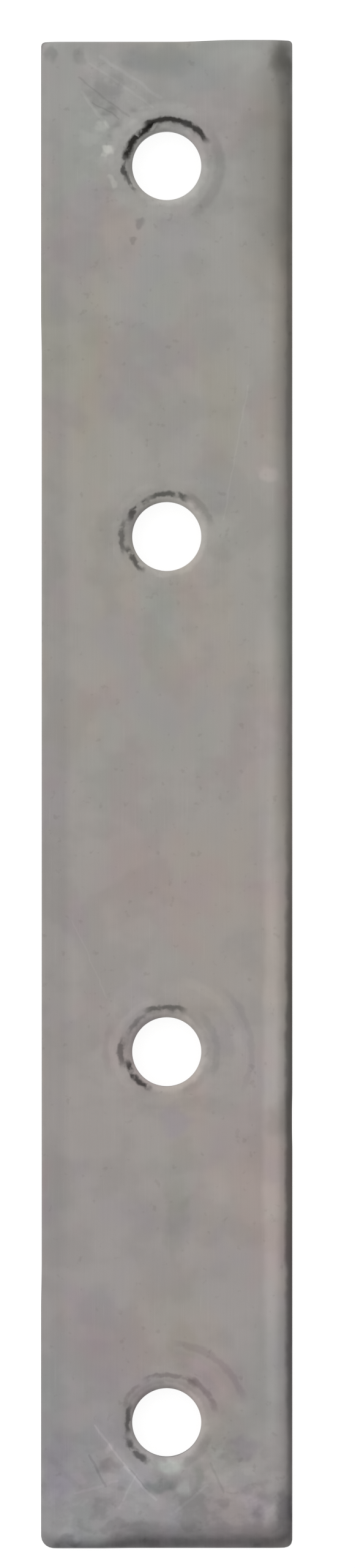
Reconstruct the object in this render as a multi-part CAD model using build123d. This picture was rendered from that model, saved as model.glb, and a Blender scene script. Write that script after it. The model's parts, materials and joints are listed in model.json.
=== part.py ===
from build123d import *

import os
from math import asin, cos, sin

# A straight mending plate: a flat steel strip with four plain screw holes in line. It is screwed
# across the joint between two boards, with two screws in each board.
#
# The plate is one piece. It is sheared from strip steel and then pierced, both from the front, so
# the front face rolls down to every side and into every hole, and the back edges stay crisp.
#
# Frame, in millimetres: the origin is the centre of the back face. +X runs across the plate, +Y
# along it, and +Z out of the front face, the side that the screws go in from.

# The strip
plate_length = 96.0
plate_width = 16.0
plate_thickness = 2.0
corner_radius = 0.6  # of the four corners, seen from the front
back_edge_break = 0.12  # bevel round the back face

# The roll that the shear leaves all round the front face
roll_width = 1.1  # from where the flat ends to the side of the plate
roll_drop = 0.36  # how far below the flat it meets the side
roll_corner_radius = 0.3  # of the flat's own corners, inside the roll
roll_lip_radius = 0.15  # between the roll and the side

# The screw holes, two to each board
end_distance = 8.0  # from an end of the plate to the centre of the hole nearest to it
hole_pitch = 23.6  # between the two holes of a board
hole_diameter = 4.4

# What the punch leaves round each hole
rim_width = 0.9  # of the rim that it draws down at the front
rim_drop = 0.25  # how far below the flat the rim meets the hole's wall
burst_width = 0.12  # of the bevel at the back, where it broke through

tool_overrun = 1.0  # how far each cutting tool stands out of the plate


def roll_radius(width, drop):
    """The radius of the arc that leaves a flat tangent and falls by drop over width."""
    return (width**2 + drop**2) / (2 * drop)


def rolled_block():
    """A larger block with a full round on top, whose flat is the flat of the plate's front face.

    At a corner the plate's outline lies further out on the round than it does along the sides, so
    the roll is deeper there, as it is on a sheared corner.
    """
    radius = roll_radius(roll_width, roll_drop)
    overhang = radius - roll_width
    outline = RectangleRounded(
        plate_width + 2 * overhang,
        plate_length + 2 * overhang,
        radius + roll_corner_radius,
    )
    block = extrude(Pos(0, 0, plate_thickness) * outline, amount=-(plate_thickness + 2 * radius))
    top_edges = block.faces().sort_by(Axis.Z)[-1].edges()
    return fillet(top_edges, radius)


def roll_lip(strip):
    """The edges where the rolled faces meet the upright sides, all round the strip."""
    level = 0.001
    sides = strip.faces().filter_by(lambda face: abs(face.normal_at().Z) < level)
    rolls = strip.faces().filter_by(lambda face: level < face.normal_at().Z < 1 - level)
    return sides.edges() & rolls.edges()


def sheared_strip():
    """The strip before piercing: crisp round the back, rolled down round the front."""
    outline = RectangleRounded(plate_width, plate_length, corner_radius)
    blank = extrude(outline, amount=plate_thickness)
    back_edges = blank.faces().sort_by(Axis.Z)[0].edges()
    strip = chamfer(back_edges, back_edge_break) & rolled_block()
    return fillet(roll_lip(strip), roll_lip_radius)


def punch():
    """What piercing takes out of the plate on +Z, turned from half of its section.

    From the front: the drawn-down rim, the hole's wall and the bevel where the slug broke away.
    """
    wall = hole_diameter / 2
    radius = roll_radius(rim_width, rim_drop)
    half_turn = asin(rim_width / radius) / 2
    above = plate_thickness + tool_overrun
    below = -tool_overrun
    rim_start = (wall + rim_width, plate_thickness)
    rim_middle = (
        wall + rim_width - radius * sin(half_turn),
        plate_thickness - radius * (1 - cos(half_turn)),
    )
    rim_end = (wall, plate_thickness - rim_drop)
    rim = ThreePointArc(rim_start, rim_middle, rim_end)
    rest = Polyline(
        rim_end,
        (wall, burst_width),
        (wall + burst_width + tool_overrun, below),
        (0, below),
        (0, above),
        (wall + rim_width, above),
        rim_start,
    )
    section = make_face(rim.edges() + rest.edges())
    return revolve(Plane.XZ * section, Axis.Z)


def hole_stations():
    """Where the holes lie along +Y: two near each end, the same from both ends."""
    outer = plate_length / 2 - end_distance
    inner = outer - hole_pitch
    return [outer, inner, -inner, -outer]


def mending_plate():
    """The finished plate."""
    plate = sheared_strip()
    for station in hole_stations():
        plate -= Pos(0, station, 0) * punch()
    return plate


os.makedirs("parts", exist_ok=True)
export_step(mending_plate(), "parts/mending_plate.step")
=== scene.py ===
import json
import math

import bmesh
import bpy
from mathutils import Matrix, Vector


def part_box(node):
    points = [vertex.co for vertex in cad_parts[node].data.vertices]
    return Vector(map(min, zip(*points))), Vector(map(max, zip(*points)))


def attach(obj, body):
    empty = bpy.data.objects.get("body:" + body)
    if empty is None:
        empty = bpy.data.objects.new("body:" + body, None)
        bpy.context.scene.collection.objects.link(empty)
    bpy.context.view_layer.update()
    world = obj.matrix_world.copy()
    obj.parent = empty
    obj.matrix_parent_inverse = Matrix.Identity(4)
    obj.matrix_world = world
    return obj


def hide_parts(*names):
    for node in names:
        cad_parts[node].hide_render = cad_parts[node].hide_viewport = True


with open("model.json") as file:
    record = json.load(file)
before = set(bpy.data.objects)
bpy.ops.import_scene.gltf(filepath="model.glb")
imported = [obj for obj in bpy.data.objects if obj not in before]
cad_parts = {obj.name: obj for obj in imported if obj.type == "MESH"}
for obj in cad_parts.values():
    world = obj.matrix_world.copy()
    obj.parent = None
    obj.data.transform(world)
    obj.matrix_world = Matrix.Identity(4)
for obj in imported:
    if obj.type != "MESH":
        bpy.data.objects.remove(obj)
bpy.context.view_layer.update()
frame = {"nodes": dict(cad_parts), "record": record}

# A straight mending plate, sheared and pierced from cold rolled strip, zinc plated and a little
# worn, lying face up on a white table. +X runs across the plate, +Y along it to its upper end, and
# +Z out of its front. Shapes are built in metres, as so many times MM. Knocks, dents and the marks
# of the finish are placed in plain millimetres.

MM = 0.001

low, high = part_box("mending_plate")
half_width = high.x
half_length = high.y
front = high.z
back = low.z

bores = [mount for mount in frame["record"]["mounts"] if mount["kind"] == "bore"]
hole_centres = [Vector((*mount["pos_m"][:2], 0)) for mount in bores]
hole_radius = bores[0]["dims"]["r_mm"] * MM

# The strip
ridge_height = 0.03 * MM  # of the swelling that the punch raised round each hole
face = front - ridge_height
cell = 0.25 * MM  # of the net that the front is modelled on
upper_corner = 0.25 * MM
lower_left_corner = 0.8 * MM
lower_right_corner = 0.5 * MM
back_edge_break = 0.12 * MM

# The roll that the shear left round the front
roll_width = 1.1 * MM
roll_drop = 0.36 * MM
roll_radius = (roll_width**2 + roll_drop**2) / (2 * roll_drop)
roll_corner_radius = 0.3 * MM
lip_width = 0.07 * MM

# The sheared sides: a burnished band under the roll, then a torn band a little further in
tear_height = 0.65 * MM
tear_step = 0.05 * MM
tear_drop = 0.1 * MM  # over which the one goes over into the other

# The holes
rim_width = 0.9 * MM
rim_drop = 0.25 * MM
rim_radius = (rim_width**2 + rim_drop**2) / (2 * rim_drop)
rim_steps = 6
hole_points = 120  # round each hole
pad_half_width = 3.75 * MM  # of the square in the net that a hole's rings fill
swelling_edge = 3.65 * MM
swelling_crest = 3.4 * MM
burst_width = 0.12 * MM
wall_tear_height = 0.8 * MM
wall_tear_step = 0.03 * MM

smooth_under = math.radians(35)  # faces that meet at less are shaded as one

# The finish, with heights in plain millimetres
marks_from = (0.95, 1.15)  # where the marks of the front begin, and where they are in full
torn_below = (0.72, 0.62)  # the same for the torn band
face_roughness = (0.34, 0.42)
burnished_roughness = 0.3
torn_roughness = 0.55
grain_height = 0.0012
pitting_height = 0.006
scuff_height = 0.03
streak_height = 0.012
torn_height = 0.08

# The light, the table and the camera
light_from = (-0.30, 0.36, 0.88)
overhead_light = (0.03, 0.61)  # far from where it comes, and towards it
low_light = 0.34  # more of it, down at the level of the table
table_glow = 0.84
table_size = 4.0  # metres
table_gap = 0.02 * MM  # under the plate, to part the two surfaces
view_height = 99.73 * MM  # what the camera takes in, at the front of the plate
view_middle = (0.685 * MM, 0.645 * MM)
lens_length = 250  # a long lens, in millimetres, as is the sensor
sensor_size = 36


# Modelling by hand: what each step selects, and how it is moved


def clear_selection():
    bpy.ops.object.select_all(action="DESELECT")


def take(piece):
    clear_selection()
    piece.select_set(True)
    bpy.context.view_layer.objects.active = piece


def edit(piece):
    take(piece)
    bpy.ops.object.mode_set(mode="EDIT")


def finish_edit():
    bpy.ops.object.mode_set(mode="OBJECT")


def pick(kind, wanted):
    """Select the points, edges or faces of the mesh in hand that are wanted."""
    bpy.ops.mesh.select_mode(type=kind)
    bpy.ops.mesh.select_all(action="DESELECT")
    mesh = bpy.context.edit_object.data
    net = bmesh.from_edit_mesh(mesh)
    parts = {"VERT": net.verts, "EDGE": net.edges, "FACE": net.faces}[kind]
    for part in parts:
        part.select = wanted(part)
    net.select_flush_mode()
    bmesh.update_edit_mesh(mesh)


def middle(edge):
    return (edge.verts[0].co + edge.verts[1].co) / 2


def apply_place(piece):
    take(piece)
    bpy.ops.object.transform_apply(location=True, rotation=True, scale=True)


def press_on(sheet, form, method, **settings):
    """Press a sheet against a form, which is then taken away."""
    wrap = sheet.modifiers.new("press", "SHRINKWRAP")
    wrap.wrap_method = method
    wrap.target = form
    for setting, value in settings.items():
        setattr(wrap, setting, value)
    take(sheet)
    bpy.ops.object.modifier_apply(modifier=wrap.name)
    bpy.data.objects.remove(form, do_unlink=True)


# The plate


def roll_form():
    """The form of the rolled front: a flat that rounds down on every side."""
    overhang = roll_radius - roll_width
    clear_selection()
    bpy.ops.mesh.primitive_cube_add(size=1, location=(0, 0, face - 2 * roll_radius))
    form = bpy.context.object
    form.scale = (2 * (half_width + overhang), 2 * (half_length + overhang), 4 * roll_radius)
    apply_place(form)
    edit(form)
    # Round the upright edges,
    pick("EDGE", lambda edge: abs(edge.verts[0].co.z - edge.verts[1].co.z) > roll_radius)
    bpy.ops.mesh.bevel(offset=roll_radius + roll_corner_radius, segments=16, affect="EDGES")
    # then the edges round its top
    pick("EDGE", lambda edge: min(point.co.z for point in edge.verts) > face - 0.01 * MM)
    bpy.ops.mesh.bevel(offset=roll_radius, segments=24, affect="EDGES")
    finish_edit()
    return form


def pad_middle(centre):
    """The middle of the square that is left open for a hole, on the lines of the net."""
    return round(centre.y / cell) * cell


def on_pad(point):
    return any(
        abs(point.x - centre.x) < pad_half_width
        and abs(point.y - pad_middle(centre)) < pad_half_width
        for centre in hole_centres
    )


def net_sheet():
    """A flat net of square cells to the size of the strip, with a square open for each hole."""
    clear_selection()
    bpy.ops.mesh.primitive_grid_add(
        x_subdivisions=round(2 * half_width / cell),
        y_subdivisions=round(2 * half_length / cell),
        size=1,
        location=(0, 0, front + MM),
    )
    sheet = bpy.context.object
    sheet.name = "worn_plate"
    sheet.scale = (2 * half_width, 2 * half_length, 1)
    apply_place(sheet)
    edit(sheet)
    pick("FACE", lambda part: on_pad(part.calc_center_median()))
    bpy.ops.mesh.delete(type="FACE")
    finish_edit()
    return sheet


def narrow_outer_cells(sheet):
    """Halve the cells along the outline, where the lip needs them."""
    edit(sheet)
    for normal, reach in (((1, 0, 0), half_width), ((0, 1, 0), half_length)):
        for side in (-1, 1):
            bpy.ops.mesh.select_all(action="SELECT")
            point = [axis * side * (reach - cell / 2) for axis in normal]
            bpy.ops.mesh.bisect(plane_co=point, plane_no=normal)
    finish_edit()


def round_corner(sheet, side, end, radius):
    """Draw the square cells of one corner in to a fan."""
    centre = Vector((side * (half_width - radius), end * (half_length - radius)))
    for vertex in sheet.data.vertices:
        out = vertex.co.xy - centre
        if out.x * side > 0 and out.y * end > 0:
            vertex.co.xy = centre + out * (max(abs(out.x), abs(out.y)) / out.length)


def round_corners(sheet):
    """The upper corners are crisper than the lower ones."""
    for side in (-1, 1):
        round_corner(sheet, side, 1, upper_corner)
    round_corner(sheet, -1, -1, lower_left_corner)
    round_corner(sheet, 1, -1, lower_right_corner)


def front_sheet():
    """The front before piercing: flat, and rolled down round the outline."""
    sheet = net_sheet()
    narrow_outer_cells(sheet)
    round_corners(sheet)
    press_on(
        sheet, roll_form(), "PROJECT",
        use_project_z=True, use_negative_direction=True, use_positive_direction=False,
    )
    return sheet


def pull(wanted, shift, reach, falloff="SMOOTH"):
    """Move the picked points, and those around them less and less out to the reach."""
    pick("VERT", wanted)
    bpy.ops.transform.translate(
        value=[length * MM for length in shift],
        use_proportional_edit=True,
        proportional_edit_falloff=falloff,
        proportional_size=reach * MM,
    )


def between(low_x, high_x, low_y, high_y):
    """A test for the points inside a rectangle, given in millimetres."""
    def wanted(vertex):
        x, y = vertex.co.x / MM, vertex.co.y / MM
        return low_x < x < high_x and low_y < y < high_y
    return wanted


def along_lower_end(low_x, high_x):
    return between(low_x, high_x, -48.1, -47.95)


def along_right_side(low_y, high_y):
    return between(7.95, 8.1, low_y, high_y)


def knock_about(sheet):
    """The uneven shearing and the knocks, before the sides are drawn down."""
    edit(sheet)
    # The blade dragged the lower end down, most of it right of the middle
    pull(along_lower_end(-2.6, 8.1), (0, 0, -0.26), 1.55, "LINEAR")
    pull(along_lower_end(-1.4, 8.1), (0, 0, -0.08), 1.9)
    # and the right side, most of it near the upper end
    pull(along_right_side(-1.0, 48.1), (0, 0, -0.11), 1.7)
    pull(along_right_side(34.0, 46.5), (0, 0, -0.13), 2.5)
    # Knocks above the lower right corner, on the right side and on the upper right corner
    pull(between(7.5, 8.1, -46.6, -44.8), (0, 0, -0.07), 1.1)
    pull(between(7.9, 8.1, -21.4, -20.0), (-0.02, 0, -0.1), 1.5)
    pull(between(7.3, 8.1, 46.6, 48.1), (0, 0, -0.1), 1.1)
    # The upper end lies a little in from a burr near its right corner
    pull(between(-8.1, 0.6, 47.95, 48.1), (0, -0.12, 0), 4.0)
    # and the left side lies a little in below the upper screw hole
    pull(between(-8.1, -7.95, -30.0, 28.0), (0.04, 0, 0), 3.0)
    finish_edit()


def ring_edge(centre, radius):
    """A test for the open edges that lie on a circle round a hole."""
    def on_circle(point):
        return abs((point.co - centre).xy.length - radius) < 0.01 * MM
    return lambda edge: edge.is_boundary and all(on_circle(point) for point in edge.verts)


def pad_edge(centre):
    """A test for the open edges of the square that was left for a hole."""
    reach = pad_half_width + 0.1 * cell
    def wanted(edge):
        at = middle(edge)
        return (
            edge.is_boundary
            and (at - centre).xy.length > hole_radius + rim_width
            and abs(at.x - centre.x) < reach
            and abs(at.y - pad_middle(centre)) < reach
        )
    return wanted


def add_ring(centre, radius, height, cuts):
    """Add a circle in the square that was left for a hole, and fill between the two."""
    bpy.ops.mesh.select_all(action="DESELECT")
    bpy.ops.mesh.primitive_circle_add(
        vertices=hole_points, radius=radius, location=(centre.x, centre.y, height)
    )

    def in_circle(edge):
        return not edge.link_faces and (middle(edge) - centre).xy.length < pad_half_width

    in_square = pad_edge(centre)
    pick("EDGE", lambda edge: in_circle(edge) or in_square(edge))
    bpy.ops.mesh.bridge_edge_loops(number_cuts=cuts, interpolation="LINEAR")


def draw_rings(centre, section):
    """Draw a hole's inmost ring on through the radii and heights of a section."""
    radius, height = section[0]
    pick("EDGE", ring_edge(centre, radius))
    for new_radius, new_height in section[1:]:
        bpy.ops.mesh.extrude_edges_move(
            TRANSFORM_OT_translate={"value": (0, 0, new_height - height)}
        )
        scale = new_radius / radius
        bpy.ops.transform.resize(value=(scale, scale, 1), center_override=centre)
        radius, height = new_radius, new_height


def hole_section():
    """From the swelling round the hole, down the rim and the wall, to the back."""
    section = [(swelling_edge, face), (swelling_crest, front)]
    whole_turn = math.asin(rim_width / rim_radius)
    for step in range(rim_steps + 1):
        turn = whole_turn * step / rim_steps
        radius = hole_radius + rim_width - rim_radius * math.sin(turn)
        section.append((radius, face - rim_radius * (1 - math.cos(turn))))
    section.append((hole_radius, back + wall_tear_height + wall_tear_step))
    section.append((hole_radius + wall_tear_step, back + wall_tear_height))
    section.append((hole_radius + wall_tear_step, back + burst_width))
    section.append((hole_radius + burst_width, back))
    return section


def pierce(sheet):
    edit(sheet)
    section = hole_section()
    for centre in hole_centres:
        add_ring(centre, *section[0], 2)
        draw_rings(centre, section)
    finish_edit()


def dent(sheet):
    """Dents in the pierced front, most of them below the lower hole."""
    edit(sheet)
    spot = 0.2  # half the width of what is pressed straight down
    for x, y, depth, reach in (
        (-3.7, -42.8, 0.05, 0.9),
        (-0.3, -44.1, 0.05, 1.1),
        (3.6, -45.1, 0.04, 0.8),
        (4.9, -41.6, 0.03, 1.2),
        (5.9, -46.0, 0.03, 0.7),
        (-3.6, 43.5, 0.04, 0.8),
        (-1.8, 36.2, 0.03, 0.6),
        (6.6, 20.4, 0.03, 0.9),
    ):
        pull(between(x - spot, x + spot, y - spot, y + spot), (0, 0, -depth), reach)
    finish_edit()


def at_side(point):
    return abs(point.x) > half_width - roll_width or abs(point.y) > half_length - roll_width


def is_lip(edge):
    """Whether an edge joins a face of the front to one of the sides."""
    upright = 0.05  # how little the normal of a side leans up or down
    sides = [abs(part.normal.z) < upright for part in edge.link_faces]
    return any(sides) and not all(sides)


def soften_lip(sheet):
    """Round the lip between the roll and the sides."""
    def wanted(edge):
        at = middle(edge)
        return at.z - back > tear_height and at_side(at) and is_lip(edge)

    edit(sheet)
    pick("EDGE", wanted)
    bpy.ops.mesh.bevel(offset=lip_width, segments=3, affect="EDGES")
    finish_edit()


def drop_sides(sheet):
    """Draw the outline down to the back: burnished, torn, then broken at the back edge."""
    edit(sheet)
    pick("EDGE", lambda edge: edge.is_boundary and at_side(middle(edge)))
    inset = 0
    for new_inset, height in (
        (0, back + tear_height),
        (tear_step, back + tear_height - tear_drop),
        (tear_step, back + back_edge_break),
        (back_edge_break, back),
    ):
        bpy.ops.mesh.extrude_edges_move(TRANSFORM_OT_translate={"value": (0, 0, 0)})
        scale = (
            (half_width - new_inset) / (half_width - inset),
            (half_length - new_inset) / (half_length - inset),
            0,
        )
        bpy.ops.transform.resize(value=scale, center_override=(0, 0, height))
        inset = new_inset
    finish_edit()


def close_back(sheet):
    """Fill the flat back, between its outline and the holes."""
    edit(sheet)
    pick("EDGE", lambda edge: edge.is_boundary)
    bpy.ops.mesh.fill(use_beauty=True)
    bpy.ops.mesh.select_all(action="SELECT")
    bpy.ops.mesh.normals_make_consistent(inside=False)
    finish_edit()


def worn_plate():
    sheet = front_sheet()
    knock_about(sheet)
    pierce(sheet)
    dent(sheet)
    drop_sides(sheet)
    soften_lip(sheet)
    close_back(sheet)
    take(sheet)
    bpy.ops.object.shade_smooth_by_angle(angle=smooth_under)
    return sheet


# Finishes


def connect(tree, source, target):
    tree.links.new(source, target)


def node(tree, kind, inputs, **settings):
    """Add a node, with its settings, and set or connect its inputs."""
    made = tree.nodes.new(kind)
    for setting, value in settings.items():
        setattr(made, setting, value)
    for socket, value in inputs.items():
        if isinstance(value, bpy.types.NodeSocket):
            connect(tree, value, made.inputs[socket])
        else:
            made.inputs[socket].default_value = value
    return made


def calculate(tree, operation, *values):
    return node(tree, "ShaderNodeMath", dict(enumerate(values)), operation=operation).outputs[0]


def vector_node(tree, operation, inputs):
    return node(tree, "ShaderNodeVectorMath", inputs, operation=operation)


def arrange(tree, operation, *values):
    """Vector arithmetic that gives a vector."""
    return vector_node(tree, operation, dict(enumerate(values))).outputs[0]


def measure(tree, operation, *values):
    """Vector arithmetic that gives a number."""
    return vector_node(tree, operation, dict(enumerate(values))).outputs[1]


def level(tree, value, start, end, to_start=0.0, to_end=1.0):
    """Ease from one level to another as a value goes from start to end."""
    inputs = {
        "Value": value,
        "From Min": start, "From Max": end,
        "To Min": to_start, "To Max": to_end,
    }
    made = node(tree, "ShaderNodeMapRange", inputs, interpolation_type="SMOOTHSTEP")
    return made.outputs["Result"]


def mottle(tree, at, size, detail=2.0):
    """An uneven pattern, from 0 to 1, of spots that are about as large as the size."""
    if not isinstance(size, (int, float)):
        at = arrange(tree, "DIVIDE", at, size)
        size = 1.0
    inputs = {"Vector": at, "Scale": 0.6 / size, "Detail": detail}
    return node(tree, "ShaderNodeTexNoise", inputs).outputs["Fac"]


def stray(tree, at, scale, detail=2.0):
    """A small uneven offset, to each side and up and down."""
    noise = node(tree, "ShaderNodeTexNoise", {"Vector": at, "Scale": scale, "Detail": detail})
    return arrange(tree, "SUBTRACT", noise.outputs["Color"], (0.5, 0.5, 0.5))


def strayed(tree, at, offset, reach):
    """A place on the front that strays by an offset, so that marks on it get uneven edges."""
    return arrange(tree, "ADD", at, arrange(tree, "MULTIPLY", offset, (reach, reach, 0)))


def stain(tree, colour, amount, tint):
    """Multiply a colour by a tint, as far as the amount says."""
    inputs = {0: amount, 6: colour, 7: (*tint, 1)}
    made = node(tree, "ShaderNodeMix", inputs, data_type="RGBA", blend_type="MULTIPLY")
    return made.outputs[2]


def swap(tree, amount, first, second):
    """Go from one colour to another."""
    inputs = {0: amount, 6: first, 7: second}
    return node(tree, "ShaderNodeMix", inputs, data_type="RGBA").outputs[2]


def go(tree, amount, first, second):
    """Go from one number to another."""
    return node(tree, "ShaderNodeMix", {0: amount, 2: first, 3: second}).outputs[0]


def oval(tree, at, middle_at, half_size):
    """1 in the middle of a soft-edged oval, and 0 outside it, in millimetres."""
    off = arrange(tree, "SUBTRACT", at, (*middle_at, 0))
    any_height = 1000
    off = arrange(tree, "DIVIDE", off, (*half_size, any_height))
    return level(tree, measure(tree, "LENGTH", off), 1.0, 0.35)


def scratch(tree, at, start, end, half_band):
    """1 on a straight scratch, and 0 away from it."""
    start, end = Vector((*start, 0)), Vector((*end, 0))
    way = (end - start).normalized()
    off = arrange(tree, "SUBTRACT", at, start)
    along = measure(tree, "DOT_PRODUCT", off, way)
    along = node(tree, "ShaderNodeClamp", {"Value": along, "Max": (end - start).length}).outputs[0]
    nearest = vector_node(tree, "SCALE", {0: way, "Scale": along}).outputs[0]
    return level(tree, measure(tree, "DISTANCE", off, nearest), half_band, 0.25 * half_band)


def lay_ovals(tree, at, colour, ovals):
    """Tint soft ovals, each given by its middle, half its size and its tint."""
    for middle_at, half_size, tint in ovals:
        colour = stain(tree, colour, oval(tree, at, middle_at, half_size), tint)
    return colour


def lay_scratches(tree, at, colour, scratches):
    """Tint straight scratches, each given by its two ends, half its width and its tint."""
    for start, end, half_band, tint in scratches:
        colour = stain(tree, colour, scratch(tree, at, start, end, half_band), tint)
    return colour


def rim_arc(tree, distance, direction, radius, half_band, toward, spread):
    """1 on the part of a ring round a hole that lies in a direction, and 0 elsewhere."""
    fade = 8  # degrees, at either end of the arc
    off = calculate(tree, "ABSOLUTE", calculate(tree, "SUBTRACT", distance, radius))
    ring = level(tree, off, half_band, 0.3 * half_band)
    turn = math.radians(toward)
    facing = measure(tree, "DOT_PRODUCT", direction, (math.cos(turn), math.sin(turn), 0))
    start, full = (math.cos(math.radians(spread + side)) for side in (fade, -fade))
    return calculate(tree, "MULTIPLY", ring, level(tree, facing, start, full))


def zinc_hue(tree, at):
    """The zinc took a slightly different hue from end to end, and in clouds."""
    along = node(tree, "ShaderNodeSeparateXYZ", {0: at}).outputs["Y"]
    drift = level(tree, mottle(tree, at, 14.0), 0.3, 0.7, -5.0, 5.0)
    along = calculate(tree, "ADD", along, drift)
    share = calculate(tree, "MULTIPLY_ADD", along, MM / (2 * half_length), 0.5)
    ramp = tree.nodes.new("ShaderNodeValToRGB")
    shades = ramp.color_ramp.elements
    shades[0].position = 0.03
    shades[0].color = (0.530, 0.518, 0.525, 1)
    shades[1].position = 0.97
    shades[1].color = (0.570, 0.562, 0.540, 1)
    for position, colour in (
        (0.11, (0.570, 0.532, 0.520, 1)),
        (0.25, (0.588, 0.543, 0.519, 1)),
        (0.45, (0.590, 0.552, 0.523, 1)),
        (0.65, (0.590, 0.566, 0.526, 1)),
        (0.85, (0.580, 0.560, 0.522, 1)),
    ):
        shades.new(position).color = colour
    connect(tree, share, ramp.inputs["Fac"])
    colour = ramp.outputs["Color"]
    for shift, size, start, end, tint in (
        ((0, 0, 0), (3.6, 6.0, 5.0), 0.50, 0.64, (1.03, 1.0, 0.965)),
        ((31, 17, 0), (2.8, 5.0, 5.0), 0.52, 0.66, (0.965, 1.0, 0.985)),
        ((-23, 41, 0), (2.4, 3.2, 4.0), 0.52, 0.64, (1.015, 0.967, 0.985)),
        ((11, -37, 0), (2.2, 3.0, 4.0), 0.54, 0.66, (0.98, 0.972, 1.012)),
    ):
        amount = level(tree, mottle(tree, arrange(tree, "ADD", at, shift), size), start, end)
        colour = stain(tree, colour, amount, tint)
    return colour


def stains_and_painted_light(tree, at, straight_at, colour):
    """Faint stain marks, light scratches, and painted light and shade along the edges and at
    knocks.
    """
    colour = lay_ovals(tree, at, colour, (
        ((-0.6, 30.0), (2.2, 7.0), (0.955, 0.99, 0.985)),
        ((-0.6, 11.0), (2.0, 3.0), (0.93, 0.99, 0.975)),
        ((-4.6, 22.0), (1.6, 15.0), (0.99, 0.98, 0.95)),
        ((3.6, 24.5), (1.7, 5.0), (0.98, 0.97, 0.92)),
        ((0.6, -20.8), (1.3, 1.5), (0.94, 0.93, 1.02)),
        ((0.6, -27.0), (1.1, 3.6), (0.89, 0.91, 0.88)),
        ((3.1, -25.5), (1.5, 2.2), (1.06, 1.06, 1.05)),
        ((1.0, -35.0), (1.4, 2.4), (0.93, 0.93, 0.89)),
        ((-2.5, -6.0), (3.2, 4.6), (1.01, 0.97, 0.965)),
        ((-3.0, -35.5), (3.0, 3.6), (1.0, 0.955, 0.97)),
        ((3.0, -37.5), (3.2, 2.6), (0.99, 0.945, 0.975)),
        # painted shade over the upper right, then a painted highlight and painted shade at two
        # knocks on the right side
        ((6.5, 39.5), (2.6, 10.5), (0.88, 0.875, 0.86)),
        ((6.6, 20.4), (0.9, 0.8), (1.18, 1.16, 1.17)),
        ((6.9, -20.7), (0.9, 1.3), (0.90, 0.91, 0.90)),
        ((-6.9, -43.0), (1.3, 3.4), (0.93, 0.90, 0.96)),
    ))
    # a painted highlight just inside the right edge, and painted shade along both edges: a dark
    # line down the right edge, deeper over its upper end, and a band along the left edge
    colour = lay_ovals(tree, straight_at, colour, (
        ((6.3, 4.0), (0.8, 14.0), (1.05, 1.05, 1.06)),
        ((6.65, -21.0), (0.75, 27.0), (1.16, 1.16, 1.165)),
        ((7.4, 24.0), (0.9, 32.0), (0.90, 0.895, 0.89)),
        ((7.4, 46.0), (0.8, 2.4), (0.80, 0.80, 0.80)),
        ((7.85, -22.0), (0.45, 32.0), (0.52, 0.52, 0.52)),
        ((7.85, 24.0), (0.35, 30.0), (0.80, 0.80, 0.80)),
        ((7.0, 41.5), (1.4, 9.0), (0.92, 0.91, 0.89)),
        ((-7.1, 0.0), (1.2, 60.0), (0.91, 0.915, 0.925)),
    ))
    return lay_scratches(tree, straight_at, colour, (
        ((5.2, 26.0), (3.6, 17.5), 0.08, (1.07, 1.07, 1.07)),
        ((-6.0, -8.0), (-3.8, -13.0), 0.07, (1.06, 1.06, 1.06)),
    ))


def upper_marks(tree, at, straight_at, colour):
    """The scuffs and specks round the upper hole, and darker upper corners, the right one painted
    shade.
    """
    colour = lay_ovals(tree, at, colour, (
        ((-0.6, 46.8), (3.0, 1.4), (0.88, 0.905, 0.93)),
        ((1.8, 45.6), (2.4, 1.6), (0.94, 0.96, 0.98)),
        ((5.0, 46.8), (1.3, 1.2), (1.06, 1.07, 1.06)),
        # painted shade at the upper right corner
        ((7.2, 46.9), (1.0, 1.4), (0.72, 0.72, 0.70)),
        ((-3.8, 45.6), (2.2, 1.8), (1.04, 1.04, 1.045)),
        ((-7.5, 47.2), (0.6, 0.9), (0.80, 0.81, 0.81)),
        ((-5.5, 46.8), (0.5, 0.8), (0.85, 0.85, 0.85)),
        ((-3.6, 43.4), (0.8, 0.5), (0.82, 0.82, 0.82)),
        ((-1.8, 36.3), (0.5, 0.4), (0.76, 0.76, 0.77)),
        ((-2.1, 35.2), (0.3, 0.3), (0.80, 0.80, 0.80)),
        ((-3.7, 41.0), (0.5, 0.5), (1.42, 1.42, 1.40)),
        ((-3.4, 39.0), (0.5, 0.35), (1.24, 1.24, 1.23)),
        ((-4.2, 42.4), (0.6, 0.5), (1.20, 1.20, 1.19)),
    ))
    return lay_scratches(tree, straight_at, colour, (
        ((-5.2, 46.6), (-1.0, 43.4), 0.70, (1.07, 1.07, 1.07)),
        ((-4.9, 46.5), (-0.9, 43.7), 0.12, (1.07, 1.07, 1.07)),
        ((-4.2, 46.9), (-0.4, 44.3), 0.16, (1.08, 1.08, 1.09)),
        ((-5.6, 45.6), (-2.4, 43.1), 0.10, (0.88, 0.88, 0.88)),
        ((-5.4, 44.6), (-3.7, 42.4), 0.16, (1.10, 1.10, 1.10)),
        ((-4.7, 44.0), (-3.0, 43.0), 0.08, (0.86, 0.86, 0.86)),
    ))


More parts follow.
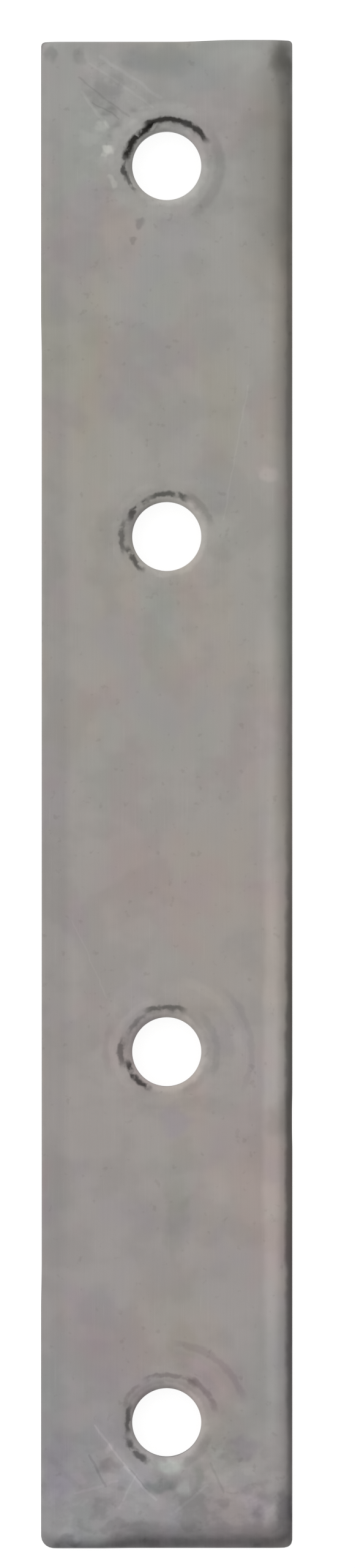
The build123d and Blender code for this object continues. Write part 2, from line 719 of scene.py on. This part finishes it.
def lower_marks(tree, at, straight_at, colour):
    """The dents, the scuffs and the darker marks of the lower end, with painted shade along its
    edge and at the knock above its lower right corner.
    """
    colour = lay_ovals(tree, at, colour, (
        ((-3.7, -42.8), (1.0, 0.55), (0.80, 0.78, 0.79)),
        ((-0.3, -44.0), (1.1, 0.75), (0.72, 0.77, 0.76)),
        ((-2.8, -44.2), (0.5, 0.4), (0.86, 0.86, 0.86)),
        ((3.6, -45.1), (0.7, 0.5), (0.82, 0.82, 0.83)),
        ((4.9, -41.6), (1.2, 1.0), (0.87, 0.84, 0.90)),
        ((5.9, -46.0), (0.5, 0.9), (0.86, 0.85, 0.86)),
        ((0.2, -42.8), (1.2, 0.65), (1.20, 1.26, 1.23)),
        ((2.0, -43.4), (0.5, 1.2), (0.85, 0.89, 0.86)),
        ((1.1, -44.2), (0.5, 0.7), (1.16, 1.20, 1.18)),
        ((-3.6, -41.6), (0.4, 0.6), (1.20, 1.18, 1.19)),
        ((3.0, -41.8), (0.6, 0.6), (1.12, 1.14, 1.13)),
        ((5.3, -44.8), (0.9, 0.9), (1.15, 1.14, 1.15)),
        ((6.2, -45.4), (0.8, 1.0), (1.20, 1.19, 1.20)),
        ((-5.6, -43.6), (0.6, 0.5), (1.10, 1.07, 1.10)),
        # painted shade along the lower edge and at the knock above the lower right corner
        ((-6.4, -47.6), (1.0, 0.4), (0.76, 0.76, 0.76)),
        ((7.5, -45.4), (0.8, 1.5), (0.66, 0.65, 0.66)),
        ((6.2, -47.7), (1.2, 0.4), (0.90, 0.90, 0.90)),
        ((3.4, -45.6), (2.4, 1.2), (0.96, 0.955, 0.95)),
    ))
    return lay_scratches(tree, straight_at, colour, (
        ((-4.6, -40.2), (-2.4, -43.0), 0.11, (1.15, 1.14, 1.14)),
        ((-4.3, -40.4), (-1.6, -43.9), 0.50, (1.05, 1.05, 1.05)),
        ((-2.7, -42.8), (-0.7, -44.9), 0.12, (1.13, 1.13, 1.13)),
        ((-2.4, -42.9), (-1.2, -44.2), 0.07, (0.88, 0.88, 0.88)),
        ((-3.0, -45.4), (-1.9, -43.3), 0.10, (1.08, 1.08, 1.08)),
        ((-5.8, -44.5), (-3.2, -43.7), 0.14, (1.10, 1.08, 1.10)),
        ((-4.9, -42.1), (-3.9, -44.0), 0.12, (0.84, 0.83, 0.84)),
        ((0.6, -45.6), (2.6, -44.0), 0.14, (1.08, 1.09, 1.09)),
        ((2.8, -42.6), (3.6, -44.4), 0.12, (0.88, 0.89, 0.88)),
    ))


def painted_shade_on_dragged_end(tree, at, colour):
    """Painted shade, with some grime, on the lower end, where the blade dragged it down."""
    place = node(tree, "ShaderNodeSeparateXYZ", {0: at}).outputs
    low = level(tree, place["Y"], -46.0, -46.7)
    dragged = level(tree, place["X"], -3.6, -2.4)
    return stain(tree, colour, calculate(tree, "MULTIPLY", low, dragged), (0.79, 0.78, 0.785))


def rim_marks(tree, at, centre, colour, dirt_and_painted_shade, rubbed_and_painted_light):
    """Darken arcs of a hole's rim with grime and painted shade, lighten its foot with burnish and
    a painted highlight, and tint arcs round it: rub marks, and painted light and shade on the rim
    and the swelling. Each arc is given by its radius and half its width in millimetres, the
    direction of its middle and half its spread in degrees, and its tint."""
    off = arrange(tree, "SUBTRACT", at, (centre.x / MM, centre.y / MM, 0))
    distance = measure(tree, "LENGTH", off)
    direction = arrange(tree, "NORMALIZE", off)
    crumbs = level(tree, mottle(tree, at, 0.45, 3.0), 0.70, 0.52)
    # the foot of each rim lighter all round: burnish and a painted highlight
    burnish_and_painted_highlight = level(tree, distance, 2.75, 2.3)
    colour = stain(tree, colour, burnish_and_painted_highlight, (1.26, 1.26, 1.26))
    for radius, half_band, toward, spread, tint in dirt_and_painted_shade:
        mark = rim_arc(tree, distance, direction, radius, half_band, toward, spread)
        colour = stain(tree, colour, calculate(tree, "MULTIPLY", mark, crumbs), tint)
    for radius, half_band, toward, spread, tint in rubbed_and_painted_light:
        mark = rim_arc(tree, distance, direction, radius, half_band, toward, spread)
        colour = stain(tree, colour, mark, tint)
    return colour


def rim_grime_and_painted_shade(tree, at, colour):
    """Dark arcs of grime and painted shade in the rims of the holes, most on their upper and left
    sides, away from the light.
    """
    at = strayed(tree, at, stray(tree, at, 1.8, 3.0), 0.45)
    upper, second, third, lower = hole_centres
    # each rim also gets painted light on the upper side of its foot, and a painted highlight and
    # painted shade on its swelling, among rub marks; ring marks lie further out round the two
    # lower holes
    colour = rim_marks(
        tree, at, upper, colour,
        dirt_and_painted_shade=(
            (2.66, 0.35, 138, 32, (0.10, 0.095, 0.09)),
            (2.92, 0.29, 92, 26, (0.14, 0.135, 0.13)),
            (2.96, 0.30, 50, 17, (0.18, 0.18, 0.175)),
            (2.76, 0.20, 184, 11, (0.30, 0.30, 0.30)),
            (2.60, 0.18, 205, 10, (0.45, 0.45, 0.45)),
        ),
        rubbed_and_painted_light=(
            (2.40, 0.24, 100, 50, (1.12, 1.12, 1.12)),
            (3.40, 0.50, -12, 46, (0.87, 0.86, 0.865)),
            (3.70, 0.45, 118, 58, (1.09, 1.09, 1.09)),
        ),
    )
    colour = rim_marks(
        tree, at, second, colour,
        dirt_and_painted_shade=(
            (2.90, 0.24, 180, 18, (0.50, 0.50, 0.50)),
            (2.64, 0.26, 137, 16, (0.32, 0.32, 0.32)),
            (2.72, 0.24, 88, 24, (0.40, 0.41, 0.40)),
            (2.60, 0.26, 215, 16, (0.36, 0.36, 0.36)),
        ),
        rubbed_and_painted_light=(
            (2.38, 0.24, 100, 60, (1.12, 1.12, 1.12)),
            (2.95, 0.30, 40, 22, (0.80, 0.81, 0.80)),
            (3.35, 0.30, 160, 60, (1.05, 1.05, 1.05)),
        ),
    )
    colour = rim_marks(
        tree, at, third, colour,
        dirt_and_painted_shade=(
            (2.95, 0.28, 180, 14, (0.48, 0.48, 0.48)),
            (2.58, 0.29, 218, 24, (0.22, 0.22, 0.22)),
            (2.88, 0.24, 92, 24, (0.46, 0.47, 0.46)),
            (2.75, 0.20, 138, 12, (0.70, 0.70, 0.70)),
        ),
        rubbed_and_painted_light=(
            (2.38, 0.26, 110, 60, (1.14, 1.14, 1.14)),
            (3.30, 0.30, 165, 60, (1.06, 1.06, 1.06)),
            (3.20, 0.35, 10, 36, (0.88, 0.89, 0.89)),
            (2.75, 0.40, 315, 24, (0.93, 0.93, 0.93)),
            (3.90, 0.30, 178, 20, (0.92, 0.92, 0.92)),
            (4.60, 0.45, 35, 40, (1.06, 1.06, 1.05)),
            (5.40, 0.30, 10, 34, (0.91, 0.91, 0.92)),
        ),
    )
    return rim_marks(
        tree, at, lower, colour,
        dirt_and_painted_shade=(
            (2.54, 0.24, 175, 18, (0.42, 0.42, 0.42)),
            (2.72, 0.34, 222, 20, (0.42, 0.42, 0.42)),
            (3.05, 0.24, 85, 30, (0.72, 0.70, 0.71)),
            (3.20, 0.28, 40, 22, (0.74, 0.72, 0.73)),
            (3.00, 0.20, 140, 12, (0.80, 0.78, 0.78)),
        ),
        rubbed_and_painted_light=(
            (2.40, 0.26, 100, 70, (1.13, 1.13, 1.13)),
            (2.80, 0.45, 272, 26, (1.03, 1.06, 1.04)),
            (2.75, 0.45, 318, 24, (0.86, 0.86, 0.86)),
            (4.20, 0.35, 60, 30, (1.05, 1.02, 1.03)),
            (5.10, 0.35, 50, 32, (0.87, 0.85, 0.87)),
        ),
    )


def scuffed_zone(tree, at):
    """How scuffed it is: most round the upper hole and at the lower end, some round each hole."""
    round_upper_hole = oval(tree, at, (-3.2, 42.5), (3.6, 6.5))
    scuffed = calculate(
        tree, "MAXIMUM",
        calculate(tree, "MULTIPLY", round_upper_hole, 0.9),
        oval(tree, at, (0, -47.0), (14.0, 9.0)),
    )
    for centre in hole_centres:
        close_to = oval(tree, at, (centre.x / MM, centre.y / MM), (7.0, 6.0))
        scuffed = calculate(tree, "MAXIMUM", scuffed, calculate(tree, "MULTIPLY", close_to, 0.4))
    return scuffed


def bare_plate(tree, at, grain, scuffs, scuffed):
    """The colour all over, before any mark that has a place of its own."""
    colour = zinc_hue(tree, at)
    colour = stain(tree, colour, level(tree, grain, 0.62, 0.35), (0.972, 0.972, 0.972))
    clouds = mottle(tree, at, 1.9, 3.0)
    colour = stain(tree, colour, level(tree, clouds, 0.56, 0.40), (0.935, 0.935, 0.935))
    dulled = calculate(tree, "MULTIPLY", level(tree, scuffs, 0.50, 0.34), scuffed)
    colour = stain(tree, colour, dulled, (0.82, 0.82, 0.82))
    rubbed_and_painted_light = calculate(tree, "MULTIPLY", level(tree, scuffs, 0.52, 0.66), scuffed)
    colour = stain(tree, colour, rubbed_and_painted_light, (1.12, 1.12, 1.12))
    hairlines = mottle(tree, arrange(tree, "ADD", at, (7, 3, 0)), (0.035, 2.4, 1.0), 2.0)
    colour = stain(tree, colour, level(tree, hairlines, 0.66, 0.72), (1.06, 1.06, 1.06))
    specks = mottle(tree, at, 0.35, 3.0)
    return stain(tree, colour, level(tree, specks, 0.64, 0.74), (0.90, 0.895, 0.89))


def marked_front(tree, flat_at, near, straight_at, colour):
    """The marks that have a place of their own, all on the front, painted light and shade among
    them.
    """
    colour = stains_and_painted_light(tree, near, straight_at, colour)
    colour = upper_marks(tree, near, straight_at, colour)
    colour = lower_marks(tree, near, straight_at, colour)
    colour = painted_shade_on_dragged_end(tree, near, colour)
    return rim_grime_and_painted_shade(tree, flat_at, colour)


def sheared_colour(tree, colour, streaks, crumbs, torn):
    """The sides and the walls of the holes: streaked by the blade, and darker where torn."""
    colour = stain(tree, colour, level(tree, streaks, 0.6, 0.35), (0.82, 0.81, 0.80))
    torn_colour = stain(tree, colour, level(tree, crumbs, 0.62, 0.40), (0.62, 0.60, 0.58))
    return swap(tree, torn, colour, torn_colour)


def sheared_zones(tree, at, height_at):
    """Where the surface is sheared, and where the lower part of that is torn."""
    normal = node(tree, "ShaderNodeNewGeometry", {}).outputs["True Normal"]
    upright = node(tree, "ShaderNodeSeparateXYZ", {0: normal}).outputs["Z"]
    on_side = level(tree, calculate(tree, "ABSOLUTE", upright), 0.55, 0.3)
    ragged = calculate(tree, "MULTIPLY_ADD", mottle(tree, at, 1.2, 3.0), 0.5, -0.25)
    return on_side, level(tree, calculate(tree, "ADD", height_at, ragged), *torn_below)


def gloss(tree, at, grain, on_side, torn):
    """The roughness: dull in clouds and grain, glossier where sheared, and dullest where torn."""
    face_gloss = level(tree, mottle(tree, at, 2.4, 3.0), 0.3, 0.7, *face_roughness)
    face_gloss = calculate(tree, "ADD", face_gloss, level(tree, grain, 0.3, 0.7, -0.02, 0.03))
    return go(tree, on_side, face_gloss, go(tree, torn, burnished_roughness, torn_roughness))


def relief(tree, at, grain, scuffs, scuffed, streaks, crumbs, on_side, torn):
    """The height in millimetres: grain, fine pitting and scuffs, or the streaks and the tear."""
    rolled = calculate(tree, "MULTIPLY", grain, grain_height)
    pitted = calculate(tree, "MULTIPLY", mottle(tree, at, 0.5, 4.0), pitting_height)
    scraped = calculate(tree, "MULTIPLY", scuffs, scuffed)
    scraped = calculate(tree, "MULTIPLY", scraped, scuff_height)
    on_face = calculate(tree, "ADD", rolled, calculate(tree, "ADD", pitted, scraped))
    broken = calculate(tree, "MULTIPLY", calculate(tree, "MULTIPLY", crumbs, torn), torn_height)
    sheared = calculate(tree, "MULTIPLY_ADD", streaks, streak_height, broken)
    return go(tree, on_side, on_face, sheared)


def zinc_plate():
    """Dull zinc plate on cold rolled strip, stained, scuffed and knocked, with painted light and
    shade.
    """
    finish = bpy.data.materials.new("zinc_plated_steel")
    finish.use_nodes = True
    tree = finish.node_tree
    shader = tree.nodes["Principled BSDF"]
    shader.inputs["Metallic"].default_value = 1.0

    source = node(tree, "ShaderNodeTexCoord", {}).outputs["Object"]
    at = arrange(tree, "DIVIDE", source, (MM, MM, MM))
    height_at = node(tree, "ShaderNodeSeparateXYZ", {0: at}).outputs["Z"]
    flat_at = arrange(tree, "MULTIPLY", at, (1, 1, 0))
    wander = stray(tree, at, 0.9)
    near = strayed(tree, flat_at, wander, 1.4)
    straight_at = strayed(tree, flat_at, wander, 0.35)
    scuffed = scuffed_zone(tree, near)
    grain = mottle(tree, at, (0.09, 5.0, 1.0), 3.0)
    scuffs = mottle(tree, at, (1.0, 0.8, 0.8), 3.0)
    streaks = mottle(tree, at, (0.12, 0.12, 3.0), 3.0)
    crumbs = mottle(tree, at, (0.16, 0.16, 0.1), 3.0)
    on_side, torn = sheared_zones(tree, at, height_at)

    colour = bare_plate(tree, at, grain, scuffs, scuffed)
    marked = marked_front(tree, flat_at, near, straight_at, colour)
    colour = swap(tree, level(tree, height_at, *marks_from), colour, marked)
    colour = swap(tree, on_side, colour, sheared_colour(tree, colour, streaks, crumbs, torn))
    connect(tree, colour, shader.inputs["Base Color"])

    connect(tree, gloss(tree, at, grain, on_side, torn), shader.inputs["Roughness"])

    height = relief(tree, at, grain, scuffs, scuffed, streaks, crumbs, on_side, torn)
    bump = node(tree, "ShaderNodeBump", {"Strength": 1.0, "Distance": MM, "Height": height})
    connect(tree, bump.outputs["Normal"], shader.inputs["Normal"])
    return finish


# The studio


def studio():
    """Light from all round, brightest overhead and up to the left, and white to the camera."""
    world = bpy.data.worlds.new("studio")
    world.use_nodes = True
    bpy.context.scene.world = world
    tree = world.node_tree
    direction = node(tree, "ShaderNodeTexCoord", {}).outputs["Generated"]
    facing = measure(tree, "DOT_PRODUCT", direction, Vector(light_from).normalized())
    overhead = level(tree, facing, -0.3, 0.85, *overhead_light)
    upward = node(tree, "ShaderNodeSeparateXYZ", {0: direction}).outputs["Z"]
    light = calculate(tree, "ADD", overhead, level(tree, upward, 0.42, 0.0, 0.0, low_light))
    seen = node(tree, "ShaderNodeLightPath", {}).outputs["Is Camera Ray"]
    back_light = tree.nodes["Background"].inputs
    back_light["Color"].default_value = (1, 1, 1, 1)
    connect(tree, go(tree, seen, light, 1.0), back_light["Strength"])


def table():
    """A white table that shows from above, and neither darkens nor hides the back of the plate."""
    clear_selection()
    bpy.ops.mesh.primitive_plane_add(size=table_size, location=(0, 0, back - table_gap))
    top = bpy.context.object
    top.name = "table"
    for kind in ("diffuse", "glossy", "transmission", "shadow"):
        setattr(top, "visible_" + kind, False)
    paper = bpy.data.materials.new("white_paper")
    paper.use_nodes = True
    tree = paper.node_tree
    shader = tree.nodes["Principled BSDF"]
    shader.inputs["Base Color"].default_value = (0.5, 0.5, 0.5, 1)
    shader.inputs["Roughness"].default_value = 0.9
    shader.inputs["Emission Color"].default_value = (1, 1, 1, 1)
    shader.inputs["Emission Strength"].default_value = table_glow
    from_below = node(tree, "ShaderNodeNewGeometry", {}).outputs["Backfacing"]
    connect(tree, go(tree, from_below, 1.0, 0.0), shader.inputs["Alpha"])
    top.data.materials.append(paper)


def camera():
    """A camera that looks straight down on the front."""
    lens = bpy.data.cameras.new("camera")
    lens.sensor_width = sensor_size
    lens.lens = lens_length
    lens.clip_start = 0.01
    lens.clip_end = 10
    eye = bpy.data.objects.new("camera", lens)
    bpy.context.scene.collection.objects.link(eye)
    distance = view_height * lens_length / sensor_size
    eye.location = (*view_middle, front + distance)
    bpy.context.scene.camera = eye


finish = zinc_plate()
for material_slot in frame["nodes"]["mending_plate"].material_slots:
    material_slot.material = finish
plate = worn_plate()
plate.data.materials.append(finish)
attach(plate, "root")
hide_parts("mending_plate")
studio()
table()
camera()
bpy.context.scene.view_settings.view_transform = "Standard"
